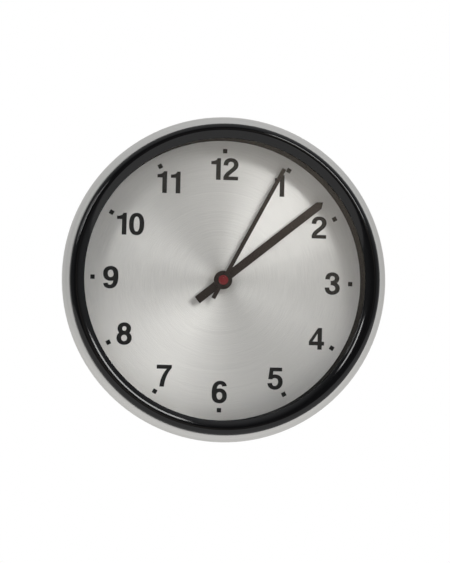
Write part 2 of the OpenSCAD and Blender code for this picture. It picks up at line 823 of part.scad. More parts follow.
module third_wheel() {
    color("white") upright() translate([third_at[0], third_at[1], 0]) {
        train_arbor();
        toothed(third_teeth, train_module, third_z, third_t, third_dir + 180, "wheel");
        toothed(pinion_teeth, centre_module, third_z + third_t, centre_z + wheel_t + 0.6 - third_z - third_t,
            gap_turn(third_dir, pinion_teeth), "pinion");
    }
}

module centre_wheel() {
    color("white") upright() difference() {
        union() {
            toothed(centre_teeth, centre_module, centre_z, wheel_t, third_dir, "wheel");
            arbor(centre_z, disc_z + disc_t - 0.3, minute_tube_r);
            toothed(cannon_teeth, motion_module, cannon_z, hour_wheel_z - 0.3 - cannon_z,
                gap_turn(minute_dir + 180, cannon_teeth), "pinion");
        }
        pivot_hole([0, 0], centre_z - over, disc_z + disc_t, arbor_r + run_gap);
    }
}

module minute_wheel() {
    color("white") upright() translate([minute_at[0], minute_at[1], 0]) difference() {
        union() {
            toothed(minute_teeth, motion_module, minute_wheel_z, wheel_t, minute_dir + 180, "wheel");
            toothed(pinion_teeth, motion_module, minute_pinion_z, minute_pinion_top - minute_pinion_z,
                gap_turn(minute_dir, pinion_teeth), "pinion");
        }
        pivot_hole([0, 0], minute_wheel_z - over, cover_z, stud_r + run_gap);
    }
}

module hour_wheel() {
    color("white") upright() difference() {
        union() {
            toothed(hour_teeth, motion_module, hour_wheel_z, wheel_t, minute_dir, "wheel");
            arbor(hour_wheel_z, hour_z + hour_t + 0.3, hour_pipe_r, $fn = 48);
        }
        pivot_hole([0, 0], hour_wheel_z - over, hour_z + hour_t, minute_tube_r + run_gap);
    }
}

module setting_knob() {
    color([0.85, 0.85, 0.83]) upright() translate([set_at[0], set_at[1], 0]) {
        difference() {
            translate([0, 0, knob_z]) cylinder(r = knob_r, h = knob_t);
            for (i = [0 : knob_notches - 1])
                rotate([0, 0, 360 * i / knob_notches])
                    translate([knob_r + 0.2, 0, knob_z - over]) cylinder(r = 0.5, h = knob_t + 2 * over, $fn = 24);
        }
        arbor(knob_z + knob_t, cover_pivot_z, set_shaft_r);
        toothed(set_teeth, motion_module, set_gear_z, wheel_t + 0.2,
            follow_turn(set_dir, minute_teeth, minute_dir + 180, set_teeth), "pinion");
    }
}

// Motor

core_y = -15.3;
core_h = 2;
pole_w = 12;
pole_h = 9;
arm_w = 2.7;
left_x = rotor_at[0] - magnet_r - 2.85;
right_x = left_x + 2 * arm_w + coil_len + 3;
coil_x = left_x + arm_w + 0.5 + 0.6 + coil_len / 2;

module stator() {
    low = core_y - core_h / 2;
    pole_low = rotor_at[1] - pole_h / 2;
    color("darkgray") upright() difference() {
        union() {
            slab(pole_w, pole_h, stator_t, [left_x + pole_w / 2, rotor_at[1], stator_z]);
            slab(arm_w, pole_low - low, stator_t, [left_x + arm_w / 2, (pole_low + low) / 2, stator_z]);
            slab(right_x - left_x - pole_w + arm_w, 1.8, stator_t,
                [(right_x + left_x + pole_w - arm_w) / 2, pole_low - 0.9, stator_z]);
            slab(arm_w, pole_low - low, stator_t, [right_x - arm_w / 2, (pole_low + low) / 2, stator_z]);
            slab(right_x - left_x, core_h, stator_t, [(left_x + right_x) / 2, core_y, stator_z]);
        }
        translate([rotor_at[0], rotor_at[1], stator_z - over])
            cylinder(r = magnet_r + 0.4, h = stator_t + 2 * over);
    }
}

module coil_axis() translate([coil_x, core_y, stator_z + stator_t / 2]) rotate([0, 90, 0]) children();

module core_slot(l) cube([stator_t + 2 * fit, core_h + 2 * fit, l], center = true);

module coil_bobbin() {
    color("ivory") upright() coil_axis() difference() {
        union() {
            cylinder(r = 1.6, h = coil_len + 1.2, center = true);
            for (s = [-1, 1])
                translate([0, 0, s * (coil_len + 0.6) / 2]) cylinder(r = coil_r + 0.2, h = 0.6, center = true);
        }
        core_slot(coil_len + 4);
    }
}

module coil_winding() {
    color("chocolate") upright() coil_axis() difference() {
        cylinder(r = coil_r, h = coil_len, center = true);
        cylinder(r = 1.6, h = coil_len + 2 * over, center = true);
    }
}

// Electrics

module circuit_board() {
    color("darkgreen") upright() slab(board_w, board_h, board_t, [board_at[0], board_at[1], board_z]);
}

module timer_chip() {
    color([0.05, 0.05, 0.05]) upright()
        translate([board_at[0] - 4, board_at[1], board_z + board_t]) cylinder(r = 2.2, h = 0.8, $fn = 32);
}

module quartz_crystal() {
    can_r = 0.95;
    color("silver") upright()
        translate([board_at[0] + 2, board_at[1] + 2, board_z + board_t + can_r])
            rotate([0, 90, 0]) cylinder(r = can_r, h = 6, $fn = 32);
}

module contact_positive() {
    color("gainsboro") upright()
        slab(contact_t, 8, battery_z + 4, [bay_len / 2 - contact_t / 2, battery_y, 1]);
}

// Strip on the wall of the bay with a leaf that stands off towards the battery
module contact_negative() {
    end_x = battery_x0 - 0.3;
    wall_x = -bay_len / 2;
    color("gainsboro") upright() {
        slab(contact_t, 8, battery_z + 4, [wall_x + contact_t / 2, battery_y, 1]);
        slab(end_x - wall_x - contact_t, 5, contact_t,
            [(end_x + wall_x + contact_t) / 2, battery_y, battery_z]);
        slab(contact_t, 5, 4, [end_x - contact_t / 2, battery_y, battery_z - 2]);
    }
}

battery_x1 = bay_len / 2 - contact_t - 0.3;
battery_x0 = battery_x1 - battery_nub - battery_len;

module battery() {
    color([0.2, 0.35, 0.3]) upright() translate([battery_x0, battery_y, battery_z]) rotate([0, 90, 0]) {
        cylinder(r = battery_r, h = battery_len);
        translate([0, 0, battery_len]) cylinder(r = 2.6, h = battery_nub, $fn = 48);
    }
}

// Hands

module blade(len, tail, w, point) {
    polygon([
        [-w / 2, -tail], [w / 2, -tail], [w / 2, len - point], [0, len], [-w / 2, len - point]
    ]);
}

module hour_hand() {
    color([0.15, 0.15, 0.15]) upright() rotate([0, 0, -minute_angle]) translate([0, 0, hour_z]) difference() {
        union() {
            linear_extrude(hour_t) blade(hour_len, hour_tail, hour_w, hour_point);
            cylinder(r = hour_eye_r, h = hour_t);
        }
        translate([0, 0, -over]) cylinder(r = hour_pipe_r + press_gap, h = hour_t + 2 * over);
    }
}

module minute_hand() {
    color([0.15, 0.15, 0.15]) upright() rotate([0, 0, -minute_angle]) translate([0, 0, minute_z]) difference() {
        union() {
            linear_extrude(minute_t) blade(minute_len, minute_tail, minute_w, minute_point);
            cylinder(r = disc_r - 0.6, h = minute_t);
        }
        translate([0, 0, -over]) cylinder(r = minute_tube_r + press_gap, h = minute_t + 2 * over);
    }
}

module minute_disc() {
    edge = 0.5;
    color([0.12, 0.12, 0.12]) upright() rotate_extrude() polygon(concat(
        [[minute_tube_r + press_gap, disc_z], [disc_r, disc_z]],
        arc(disc_r - edge, disc_z + disc_t - edge, edge, 0, 90),
        [[minute_tube_r + press_gap, disc_z + disc_t]]
    ));
}

module seconds_hand() {
    color([0.15, 0.15, 0.15]) upright() rotate([0, 0, -second_angle]) difference() {
        slab(second_w, second_len + second_tail, second_t, [0, (second_len - second_tail) / 2, second_z]);
        pivot_hole([0, 0], second_z - over, second_t + 2 * over, arbor_r + press_gap);
    }
}

module seconds_collar() {
    color("gold") upright() tube(collar_r, arbor_r + press_gap, second_z - collar_h, collar_h, $fn = 48);
}

module seconds_cap() {
    edge = 0.9;
    color("red") upright() difference() {
        rotate_extrude() polygon(concat(
            [[0, cap_z], [cap_r, cap_z]],
            arc(cap_r - edge, cap_z + cap_h - edge, edge, 0, 90),
            [[0, cap_z + cap_h]]
        ));
        pivot_hole([0, 0], cap_z - over, 0.8 + over, arbor_r + press_gap);
    }
}

case_shell();
bezel();
lens();
lens_gasket();
spacer_ring();
dial_plate();
dial_numerals();
hour_squares();
dial_feet();
dial_screws();
hanger_plate();
hanger_rivets();
movement_rear_shell();
movement_front_shell();
threaded_bush();
rubber_washer();
flat_washer();
hex_nut();
rotor();
intermediate_wheel();
seconds_wheel();
third_wheel();
centre_wheel();
minute_wheel();
hour_wheel();
setting_knob();
stator();
coil_bobbin();
coil_winding();
circuit_board();
timer_chip();
quartz_crystal();
contact_positive();
contact_negative();
battery();
hour_hand();
minute_hand();
minute_disc();
seconds_hand();
seconds_collar();
seconds_cap();
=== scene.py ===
import json
import math

import bmesh
import bpy
import numpy as np
from mathutils import Matrix, Quaternion, Vector


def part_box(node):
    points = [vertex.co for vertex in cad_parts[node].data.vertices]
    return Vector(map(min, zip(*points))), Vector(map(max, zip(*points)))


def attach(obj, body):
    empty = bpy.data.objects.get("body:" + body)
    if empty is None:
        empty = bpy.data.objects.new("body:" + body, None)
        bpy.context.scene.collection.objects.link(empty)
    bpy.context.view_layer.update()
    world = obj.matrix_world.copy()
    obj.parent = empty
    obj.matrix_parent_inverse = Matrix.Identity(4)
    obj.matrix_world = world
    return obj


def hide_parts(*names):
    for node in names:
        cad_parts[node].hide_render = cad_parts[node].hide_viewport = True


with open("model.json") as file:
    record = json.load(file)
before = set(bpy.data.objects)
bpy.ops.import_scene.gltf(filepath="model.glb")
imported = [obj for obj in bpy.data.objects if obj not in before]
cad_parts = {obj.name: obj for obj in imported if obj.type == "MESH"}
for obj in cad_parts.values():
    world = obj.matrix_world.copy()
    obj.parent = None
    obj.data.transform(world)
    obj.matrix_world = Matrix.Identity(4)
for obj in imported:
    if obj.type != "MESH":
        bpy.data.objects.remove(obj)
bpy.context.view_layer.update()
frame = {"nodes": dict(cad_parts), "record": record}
nodes = frame["nodes"]
mm = 0.001
onePoint = 0.001 * mm    # points closer than this are merged

# Camera, where the photograph was taken from: a little left of the clock and below its middle
camera = dict(azimuth=-6.46, elevation=-2.54, roll=1.38, distance=2.4, target=(0.00218, -0.025, -0.00118),
              lens=165.36, sensor=36, nearest=0.05, farthest=60)


def placeCamera(look):
    a, e, roll = (math.radians(look[k]) for k in ("azimuth", "elevation", "roll"))
    back = Vector((math.sin(a) * math.cos(e), -math.cos(a) * math.cos(e), math.sin(e)))
    right = (-back).cross(Vector((0, 0, 1))).normalized()
    up = right.cross(-back)
    tiltedRight = right * math.cos(roll) + up * math.sin(roll)
    tiltedUp = up * math.cos(roll) - right * math.sin(roll)
    data = bpy.data.cameras.new("camera")
    data.lens, data.sensor_width = look["lens"], look["sensor"]
    data.clip_start, data.clip_end = look["nearest"], look["farthest"]
    made = bpy.data.objects.new("camera", data)
    tilt = Matrix((tiltedRight, tiltedUp, back)).transposed().to_4x4()
    made.matrix_world = Matrix.Translation(Vector(look["target"]) + back * look["distance"]) @ tilt
    bpy.context.scene.collection.objects.link(made)
    bpy.context.scene.camera = made


placeCamera(camera)
print("camera placed")


# sRGB hex colour to the linear values that Blender works in
def colour(hexText):
    s = np.array([int(hexText[i:i + 2], 16) for i in (1, 3, 5)]) / 255
    linear = np.where(s <= 0.04045, s / 12.92, ((s + 0.055) / 1.055) ** 2.4)
    return (*linear.tolist(), 1)


# Adds one node: settings are its own properties, sockets takes numbers, nodes (their first output) or outputs
def addNode(tree, kind, sockets=None, **settings):
    made = tree.nodes.new("ShaderNode" + kind)
    for name, value in settings.items():
        setattr(made, name, value)
    for name, value in (sockets or {}).items():
        if isinstance(value, bpy.types.Node):
            value = value.outputs[0]
        if isinstance(value, bpy.types.NodeSocket):
            tree.links.new(value, made.inputs[name])
        else:
            made.inputs[name].default_value = value
    return made


def newMaterial(name):
    made = bpy.data.materials.new(name)
    made.use_nodes = True
    made.node_tree.nodes.clear()
    return made, made.node_tree


# Object coordinates as a noise's input, counted in grains of so many millimetres. With lines, the grains are drawn out
# to a length in millimetres: along x, y or z, or in circles round a line in x or y through the centre, as a lathe cuts.
# For circles the noise is read at the distance from that line, plus a little of the place itself.
def patternSpace(tree, grain, lines=None, centre=(0, 0, 0)):
    grain = grain * mm
    place = addNode(tree, "TexCoord").outputs["Object"]
    moved = addNode(tree, "Mapping", {"Vector": place, "Location": tuple(-c for c in centre)})
    if lines is None:
        return addNode(tree, "VectorMath", {0: moved, 1: (1 / grain,) * 3}, operation="MULTIPLY")
    way, length = lines[0], lines[1] * mm
    if not way.startswith("ring"):
        scale = tuple(1 / (length if way == a else grain) for a in "xyz")
        return addNode(tree, "VectorMath", {0: moved, 1: scale}, operation="MULTIPLY")
    sideways = (0, 1, 1) if way == "ringX" else (1, 0, 1)
    flat = addNode(tree, "VectorMath", {0: moved, 1: sideways}, operation="MULTIPLY")
    radius = addNode(tree, "VectorMath", {0: flat}, operation="LENGTH").outputs["Value"]
    spread = addNode(tree, "VectorMath", {0: moved, 1: (1 / length,) * 3}, operation="MULTIPLY")
    across = addNode(tree, "Math", {0: radius, 1: 1 / grain}, operation="MULTIPLY")
    along = addNode(tree, "CombineXYZ", {"X": across})
    return addNode(tree, "VectorMath", {0: spread, 1: along}, operation="ADD")


noiseLow, noiseHigh = 0.3, 0.7    # nearly all of a noise lies between these
bothLow, bothHigh = 0.6, 1.4    # and the sum of two noises between these


# General finish: two close colours in soft patches, roughness that wanders with the grain, and the grain as a fine
# relief. Grain, patch, lines and depth are in millimetres.
def dressed(name, look):
    made, tree = newMaterial(name)
    patch = addNode(tree, "TexNoise", {"Vector": patternSpace(tree, look.get("patch", 12), look.get("patchLines")),
                                       "Scale": 1, "Detail": 3, "Roughness": 0.55}).outputs["Fac"]
    space = patternSpace(tree, look["grain"], look.get("lines"), look.get("centre", (0, 0, 0)))
    grain = addNode(tree, "TexNoise", {"Vector": space, "Scale": 1, "Detail": 4, "Roughness": 0.6}).outputs["Fac"]
    one, other = (colour(c) for c in look["colours"])
    shade = addNode(tree, "MapRange", {"Value": patch, "From Min": noiseLow, "From Max": noiseHigh})
    base = addNode(tree, "Mix", {"Factor": shade, 6: one, 7: other}, data_type="RGBA")
    smoothest, roughest = look["roughness"]
    wander = addNode(tree, "Math", {0: patch, 1: grain}, operation="ADD")
    rough = addNode(tree, "MapRange", {"Value": wander, "From Min": bothLow, "From Max": bothHigh,
                                       "To Min": smoothest, "To Max": roughest})
    relief = addNode(tree, "Bump", {"Height": grain, "Strength": look["relief"],
                                    "Distance": look.get("depth", 0.02) * mm})
    shader = addNode(tree, "BsdfPrincipled", {"Base Color": base.outputs[2], "Roughness": rough, "Normal": relief,
                                              "Metallic": look.get("metallic", 0), **look.get("extra", {})})
    addNode(tree, "OutputMaterial", {"Surface": shader})
    return made


# Aluminium ground in circles: the grooves throw light out along each radius, so a lamp shows as a pair of fans.
# Real grooves are about 0.1 mm apart, drawn 0.7 mm apart so that they show.
dialLook = dict(colours=("#E8E7E3", "#D9D8D4"), metallic=0.74, roughness=(0.45, 0.51), anisotropy=0.8,
                groove=0.7, arc=18, cloud=45, relief=0.12, depth=0.01)


def spunDial(look):
    made, tree = newMaterial("aluminiumGroundInCircles")
    place = addNode(tree, "TexCoord").outputs["Object"]
    radial = addNode(tree, "VectorMath", {0: place, 1: (1, 0, 1)}, operation="MULTIPLY")
    outward = addNode(tree, "VectorMath", {0: radial}, operation="NORMALIZE")
    space = patternSpace(tree, look["groove"], ("ringY", look["arc"]))
    rings = addNode(tree, "TexNoise", {"Vector": space, "Scale": 1, "Detail": 5, "Roughness": 0.65}).outputs["Fac"]
    space = patternSpace(tree, look["cloud"])
    cloud = addNode(tree, "TexNoise", {"Vector": space, "Scale": 1, "Detail": 2}).outputs["Fac"]
    one, other = (colour(c) for c in look["colours"])
    shade = addNode(tree, "MapRange", {"Value": rings, "From Min": noiseLow, "From Max": noiseHigh})
    base = addNode(tree, "Mix", {"Factor": shade, 6: one, 7: other}, data_type="RGBA")
    smoothest, roughest = look["roughness"]
    wander = addNode(tree, "Math", {0: rings, 1: cloud}, operation="ADD")
    rough = addNode(tree, "MapRange", {"Value": wander, "From Min": bothLow, "From Max": bothHigh,
                                       "To Min": smoothest, "To Max": roughest})
    relief = addNode(tree, "Bump", {"Height": rings, "Strength": look["relief"], "Distance": look["depth"] * mm})
    shader = addNode(tree, "BsdfPrincipled", {"Base Color": base.outputs[2], "Roughness": rough, "Normal": relief,
                                              "Metallic": look["metallic"], "Anisotropic": look["anisotropy"],
                                              "Tangent": outward})
    addNode(tree, "OutputMaterial", {"Surface": shader})
    return made


# Float glass, polished flat: clear and colourless, it shows soft reflections with faint wiping marks.
# Soft light and shadows pass straight through it.
lensLook = dict(tint="#FEFEFE", ior=1.5, smear=25, smearFrom=0.45, smearTo=0.75, roughness=(0, 0.03))


def lensGlass(look):
    made, tree = newMaterial("floatGlassClear")
    smear = addNode(tree, "TexNoise", {"Vector": patternSpace(tree, look["smear"]), "Scale": 1, "Detail": 4,
                                       "Distortion": 1.5}).outputs["Fac"]
    smoothest, roughest = look["roughness"]
    rough = addNode(tree, "MapRange", {"Value": smear, "From Min": look["smearFrom"], "From Max": look["smearTo"],
                                       "To Min": smoothest, "To Max": roughest})
    glass = addNode(tree, "BsdfPrincipled", {"Base Color": colour(look["tint"]), "Roughness": rough,
                                             "IOR": look["ior"], "Transmission Weight": 1})
    clear = addNode(tree, "BsdfTransparent", {"Color": colour(look["tint"])})
    ray = addNode(tree, "LightPath").outputs
    passes = addNode(tree, "Math", {0: ray["Is Shadow Ray"], 1: ray["Is Diffuse Ray"]}, operation="MAXIMUM")
    mixed = addNode(tree, "MixShader", {0: passes, 1: glass, 2: clear})
    addNode(tree, "OutputMaterial", {"Surface": mixed})
    return made


lowest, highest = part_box("battery")
cellLine = ((lowest.y + highest.y) / 2, (lowest.z + highest.z) / 2)    # the cell lies along x at this y and z

# Finish of each material slot: what it is and how it was made, then its numbers. Grains finer than about 0.2 mm on the
# real surface, such as lathe lines and the texture of a mould, are drawn as coarse as they need to be to show.
slotLooks = {
    # a lathe's fine lines under a satin finish: a pale, soft sheen with faint broad rings
    "case_aluminium": ("aluminiumSpunSatin", dict(
        colours=("#CCCBC8", "#C1C0BD"), metallic=0.5, roughness=(0.44, 0.54), grain=0.5, lines=("ringY", 30),
        relief=0.12, patch=2.5, patchLines=("ringY", 150))),
    # from a polished mould: deep black with thin, clear reflections
    "bezel_black": ("absMouldedGloss", dict(
        colours=("#0B0B0C", "#0E0E0F"), roughness=(0.07, 0.11), grain=6, relief=0.05,
        extra={"Specular IOR Level": 0.34})),
    # sprayed paint: swallows the light, so that the dial lies in a dark well
    "spacer_black": ("absPaintedMattBlack", dict(
        colours=("#0C0C0B", "#100F0E"), roughness=(0.75, 0.9), grain=0.8, relief=0.2,
        extra={"Specular IOR Level": 0.04})),
    # dull and nearly black, no clear highlight
    "gasket_rubber": ("rubberMouldedMatt", dict(
        colours=("#0D0D0D", "#151515"), roughness=(0.65, 0.8), grain=0.5, relief=0.3)),
    # a thin flat film, duller than the metal round it
    "dial_ink": ("screenInkMatt", dict(
        colours=("#131211", "#181715"), roughness=(0.5, 0.62), grain=0.4, relief=0.15,
        extra={"Specular IOR Level": 0.2})),
    # warm yellow with tight tool lines round it and lively highlights
    "fixing_brass": ("brassTurned", dict(
        colours=("#C9A45A", "#B8924A"), metallic=1, roughness=(0.2, 0.34), grain=0.25, lines=("ringY", 4), relief=0.3)),
    # half bright, a cool grey
    "screw_steel": ("steelZincPlated", dict(
        colours=("#B9BCC0", "#A9ABA8"), metallic=1, roughness=(0.28, 0.42), grain=0.8, relief=0.2)),
    # the same on sheet, a little duller, in broader flecks
    "hanger_steel": ("steelZincPlated", dict(
        colours=("#B4B7BA", "#A2A5A5"), metallic=1, roughness=(0.3, 0.45), grain=2.5, relief=0.2)),
    # from a spark-eroded mould: black with a dull, even grain
    "movement_plastic": ("absSparkTextured", dict(
        colours=("#171718", "#1D1D1E"), roughness=(0.5, 0.65), grain=0.6, relief=0.6, depth=0.04)),
    # the same, a shade lighter
    "cover_plastic": ("absSparkTextured", dict(
        colours=("#1C1C1D", "#222223"), roughness=(0.5, 0.65), grain=0.6, relief=0.6, depth=0.04)),
    # milky white with a waxy shine
    "gear_plastic": ("acetalMoulded", dict(
        colours=("#E9E6DC", "#DEDBD0"), roughness=(0.3, 0.42), grain=1.5, relief=0.1)),
    # dark grey and stony, with a dim glint
    "rotor_magnet": ("ferriteSintered", dict(
        colours=("#3A3A3D", "#2E2E30"), metallic=0.6, roughness=(0.45, 0.6), grain=0.3, relief=0.4)),
    # ivory with a soft, dull shine
    "knob_plastic": ("absMouldedMatt", dict(
        colours=("#E2E0D8", "#D6D4CC"), roughness=(0.38, 0.5), grain=0.7, relief=0.3)),
    # plain grey with long faint lines, the way it went through the rolls
    "stator_steel": ("siliconSteelRolled", dict(
        colours=("#8E8F94", "#7E7F84"), metallic=1, roughness=(0.32, 0.46), grain=0.2, lines=("x", 8), relief=0.3)),
    # cream, half dull
    "bobbin_plastic": ("nylonMoulded", dict(
        colours=("#DDD3BB", "#D0C6AE"), roughness=(0.4, 0.5), grain=1, relief=0.15)),
    # orange brown under a shiny varnish
    "coil_copper": ("copperWireEnamelled", dict(
        colours=("#B4602E", "#9C4E24"), metallic=1, roughness=(0.22, 0.34), grain=0.3, relief=0.2)),
    # dark green under a half-gloss lacquer
    "board_laminate": ("epoxyLaminateMasked", dict(
        colours=("#1E5B33", "#17492A"), roughness=(0.25, 0.4), grain=0.8, relief=0.2)),
    # a black drop that looks wet
    "chip_resin": ("epoxyResinDropped", dict(
        colours=("#0C0C0C", "#111111"), roughness=(0.15, 0.25), grain=1.5, relief=0.2)),
    # bright warm grey with faint rings round the cell's line, also on the cell's own can
    "crystal_can": ("steelNickelPlated", dict(
        colours=("#C9C7C0", "#BBB9B2"), metallic=1, roughness=(0.18, 0.3), grain=0.4, lines=("ringX", 3),
        centre=(0, *cellLine), relief=0.2)),
    # bright warm grey with fine lines along the strip
    "contact_steel": ("springSteelNickelPlated", dict(
        colours=("#C6C3BA", "#B4B1A8"), metallic=1, roughness=(0.22, 0.36), grain=0.25, lines=("z", 6), relief=0.25)),
    # a tight dark green film with a glossy streak along it
    "battery_sleeve": ("pvcShrinkSleeve", dict(
        colours=("#23463B", "#1E3F35"), roughness=(0.14, 0.22), grain=3, relief=0.15)),
    # a warm black with a broad, weak shine
    "hand_black": ("aluminiumPaintedSatinBlack", dict(
        colours=("#261E1A", "#2B231E"), roughness=(0.32, 0.42), grain=0.5, relief=0.15,
        extra={"Specular IOR Level": 0.22})),
    # deep red with one small clear highlight
    "cap_red": ("absMouldedRed", dict(
        colours=("#7C2226", "#741D21"), roughness=(0.14, 0.22), grain=1.2, relief=0.1)),
}
materials = {slot: dressed(name, look) for slot, (name, look) in slotLooks.items()}
materials["dial_aluminium"] = spunDial(dialLook)
materials["lens_glass"] = lensGlass(lensLook)

slotOf = {sub["node"]: sub["material_slot"] for sub in frame["record"]["subparts"]}
bodyOf = {node: body for body, names in frame["record"]["behaviour"]["bodies"].items() for node in names}
for node, slot in slotOf.items():
    for held in nodes[node].material_slots:
        held.material = materials[slot]
print("materials made:", len(materials))


# Merges doubled points, turns all faces outwards and shades the surface smooth between its sharp edges, in degrees
def addPiece(name, mesh, sharp=35):
    work = bmesh.new()
    work.from_mesh(mesh)
    bmesh.ops.remove_doubles(work, verts=work.verts, dist=onePoint)
    bmesh.ops.recalc_face_normals(work, faces=work.faces)
    work.to_mesh(mesh)
    work.free()
    mesh.shade_smooth()
    mesh.set_sharp_from_angle(angle=math.radians(sharp))
    made = bpy.data.objects.new(name, mesh)
    bpy.context.scene.collection.objects.link(made)
    return made


def standFor(made, node):
    made.data.materials.clear()
    made.data.materials.append(materials[slotOf[node]])
    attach(made, bodyOf[node])
    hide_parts(node)


# Rings of points, each closed on itself and joined to the next ring by four-sided faces.
# A looped surface joins its last ring to its first; otherwise the end rings have shrunk to points.
def ringSurface(name, rings, looped):
    count, around = rings.shape[:2]
    here = np.arange(around)
    after = (here + 1) % around
    first = np.arange(count if looped else count - 1)[:, None] * around
    second = (first + around) % (count * around)
    faces = np.stack((first + here, first + after, second + after, second + here), axis=-1).reshape(-1, 4)
    mesh = bpy.data.meshes.new(name)
    mesh.from_pydata(rings.reshape(-1, 3).tolist(), [], faces.tolist())
    return addPiece(name, mesh)


# Turned surface: each (radius, height) of the profile, in millimetres, goes round a full circle.
# The height runs out of the wall, or along x for a piece that lies on its side with its line at (y, z).
def turned(profile, steps=96, lineAt=None):
    turn = np.linspace(0, 2 * np.pi, steps, endpoint=False)
    radius, height = (np.asarray(profile)[:, [i]] * mm for i in (0, 1))
    across, up, height = radius * np.cos(turn), radius * np.sin(turn), height + 0 * turn
    if lineAt is None:
        return np.stack((across, -height, up), axis=-1)
    return np.stack((height, lineAt[0] + across, lineAt[1] + up), axis=-1)


# Points on a circle's arc, angles in degrees from the radius direction
def arcPoints(centre, radius, start, end, steps):
    a = np.radians(np.linspace(start, end, steps))
    return np.column_stack((centre[0] + radius * np.cos(a), centre[1] + radius * np.sin(a)))


# Bezel, millimetres from the axis and out of the wall: up its outer side, over a tight crest, down a gently rounded
# inner face, round a thin nose that holds the glass, and back along the skirt with its snap bead
bezelLook = dict(outer=143.2, opening=130, seat=47, glass=50.3, crestIn=5.1, crestRound=6, crestSlope=15,
                 innerRound=23, nose=0.6, skirt=141.6, skirtBore=138.7, skirtLow=39,
                 bead=0.8, beadAt=44.7, beadBelow=1.2, beadAbove=0.7, steps=360, arcSteps=26, noseSteps=12)


# Three arcs, each meeting the next at the same slope: the crest and the inner face at crestSlope, the inner face and
# the nose at the slope whose sine is the distance across between their centres over the difference of their radii
def bezelProfile(look, top):
    outer, seat, nose, skirt, bore = (look[k] for k in ("outer", "seat", "nose", "skirt", "skirtBore"))
    crestAt = outer - look["crestIn"]
    slope, extra = math.radians(look["crestSlope"]), look["innerRound"] - look["crestRound"]
    noseSlope = math.asin((crestAt - look["opening"] - nose + extra * math.sin(slope)) / (look["innerRound"] - nose))
    innerCentre = (crestAt + extra * math.sin(slope),
                   look["glass"] + nose - (look["innerRound"] - nose) * math.cos(noseSlope))
    crestCentre = (crestAt, innerCentre[1] + extra * math.cos(slope))
    crestStart = 90 - math.degrees(math.asin(look["crestIn"] / look["crestRound"]))
    crestEnd, noseStart, steps = 90 + look["crestSlope"], 90 + math.degrees(noseSlope), look["arcSteps"]
    section = np.concatenate((
        [(outer, seat)],
        arcPoints(crestCentre, look["crestRound"], crestStart, crestEnd, steps)[:-1],
        arcPoints(innerCentre, look["innerRound"], crestEnd, noseStart, steps)[:-1],
        arcPoints((look["opening"] + nose, look["glass"] + nose), nose, noseStart, 270, look["noseSteps"]),
        [(bore, look["glass"]), (bore, look["skirtLow"]), (skirt, look["skirtLow"])],
        [(skirt, look["beadAt"] - look["beadBelow"]), (skirt + look["bead"], look["beadAt"])],
        [(skirt, look["beadAt"] + look["beadAbove"]), (skirt, seat)]))
    above = section[:, 1] - seat
    fitted = above * (top - seat) / above.max()    # the crest as high as the CAD's
    section[:, 1] = seat + np.where(above > 0, fitted, above)
    return section


lowest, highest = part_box("bezel")
bezelRings = turned(bezelProfile(bezelLook, -lowest.y / mm), bezelLook["steps"])
standFor(ringSurface("bezelRing", bezelRings, looped=True), "bezel")


# Flat hands with rounded edges, millimetres and degrees
handLooks = dict(
    hour_hand=dict(length=82, tail=22, width=6.8, point=5, eye=6.2, hole=2.22, angle=50.8, edge=0.16),
    minute_hand=dict(length=119, tail=30.4, width=7.7, point=5, eye=8, hole=1.27, angle=50.8, edge=0.2),
    seconds_hand=dict(length=118.4, tail=19.5, width=3.85, point=0, eye=0.6, hole=0.52, angle=27.5, edge=0.14),
)
# flatRing: a ring so many edges in, which keeps the shade of the rounding off the flat face
# endLift: the middle of a square end stands this much proud, so that it stays a corner of its own
handShape = dict(turnSteps=72, edgeSteps=5, flatRing=1.6, endLift=0.001)


# The outline is the distance from the axis at each angle: the larger of the blade's straight sides and its round eye.
# The rings run from the hole over the top, round the edge and back underneath, each the outline moved in by its inset.
def handRings(look, shape, low, high):
    half, edge = look["width"] / 2, look["edge"]
    shoulder = look["length"] - look["point"] - shape["endLift"]
    corners = np.array([(-half, -look["tail"]), (half, -look["tail"]),
                        (half, shoulder), (0, look["length"]), (-half, shoulder)])
    side = np.roll(corners, -1, axis=0) - corners
    facing = np.column_stack((side[:, 1], -side[:, 0])) / np.linalg.norm(side, axis=1)[:, None]
    reach = (facing * corners).sum(axis=1)
    meets = math.acos(min(1, half / look["eye"]))    # where the eye comes out of the blade's sides
    turn = np.unique(np.concatenate((
        np.linspace(-np.pi, np.pi, shape["turnSteps"], endpoint=False), np.arctan2(corners[:, 1], corners[:, 0]),
        (meets, -meets, np.pi - meets, meets - np.pi))).round(5))
    toward = np.column_stack((np.cos(turn), np.sin(turn)))
    share = toward @ facing.T
    ahead, never = 1e-6, 1e6    # a side counts where it is ahead, and the nearest of them is the outline
    blade = np.where(share > ahead, reach / np.maximum(share, ahead), never).min(axis=1)
    outline = toward * np.maximum(blade, look["eye"])[:, None]
    step = np.roll(outline, -1, axis=0) - outline
    after = np.column_stack((step[:, 1], -step[:, 0])) / np.linalg.norm(step, axis=1)[:, None]
    before = np.roll(after, 1, axis=0)
    mitre = (after + before) / (1 + (after * before).sum(axis=1))[:, None]
    bend = np.radians(np.linspace(0, 90, shape["edgeSteps"]))
    inset = np.concatenate(([edge * shape["flatRing"]], edge * (1 - np.sin(bend))))
    drop = np.concatenate(([0], edge * (1 - np.cos(bend))))
    inset, height = np.concatenate((inset, inset[::-1])), np.concatenate((high - drop, (low + drop)[::-1]))
    flat = outline - mitre * inset[:, None, None]
    hole = toward[None] * look["hole"]
    flat, height = np.concatenate((hole, flat, hole)), np.concatenate(([high], height, [low]))[:, None]
    a = math.radians(look["angle"])
    x, y = flat[..., 0], flat[..., 1]
    across, up = x * math.cos(a) + y * math.sin(a), y * math.cos(a) - x * math.sin(a)
    return np.stack((across, -height + 0 * x, up), axis=-1) * mm


